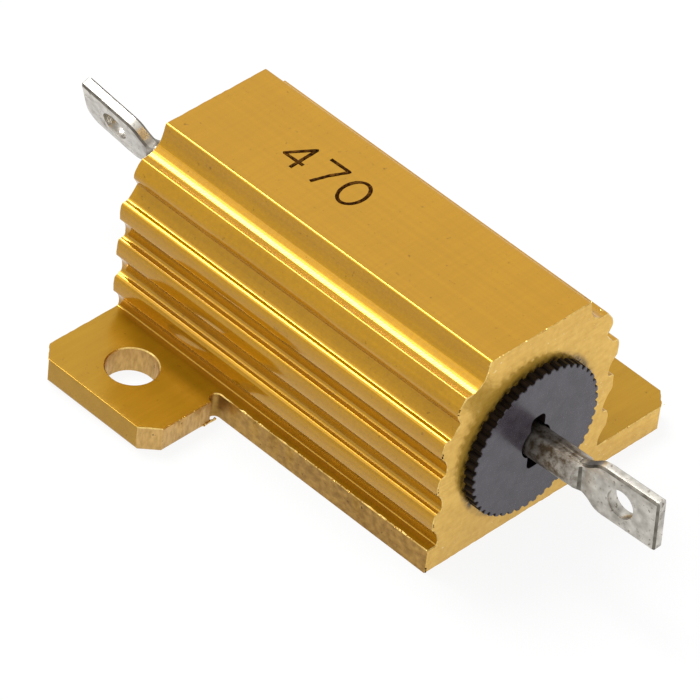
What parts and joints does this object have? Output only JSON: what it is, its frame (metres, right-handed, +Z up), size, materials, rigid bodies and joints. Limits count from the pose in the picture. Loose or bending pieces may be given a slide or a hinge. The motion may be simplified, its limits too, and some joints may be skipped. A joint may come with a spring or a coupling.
{
  "type": "aluminium housed resistor",
  "caption": "Power resistor in a finned gold anodised aluminium housing with two diagonal screw ears and a flattened solder eye at each end.",
  "frame": {"origin": "middle of the housing's mounting face", "axes": "+X along the body and its leads towards the front end, +Y across, +Z up from the mounting face"},
  "size_m": [0.0484, 0.027, 0.0147],
  "materials": {
    "gold_anodised_aluminium": "satin gold anodised extrusion with sawn ends",
    "moulded_disc": "matt blue-grey moulding",
    "tinned_lead": "dull tinned, pressed flat",
    "core_ceramic": "unglazed ceramic",
    "plated_steel_cap": "drawn and plated",
    "resistance_wire": "drawn wire under cement",
    "moulding_compound": "cured compound"
  },
  "bodies": {
    "root": {"housing": "gold_anodised_aluminium", "front_end_disc": "moulded_disc", "rear_end_disc": "moulded_disc", "front_terminal": "tinned_lead", "rear_terminal": "tinned_lead", "ceramic_core": "core_ceramic", "front_core_cap": "plated_steel_cap", "rear_core_cap": "plated_steel_cap", "resistance_winding": "resistance_wire", "moulding_compound": "moulding_compound"}
  },
  "joints": []
}
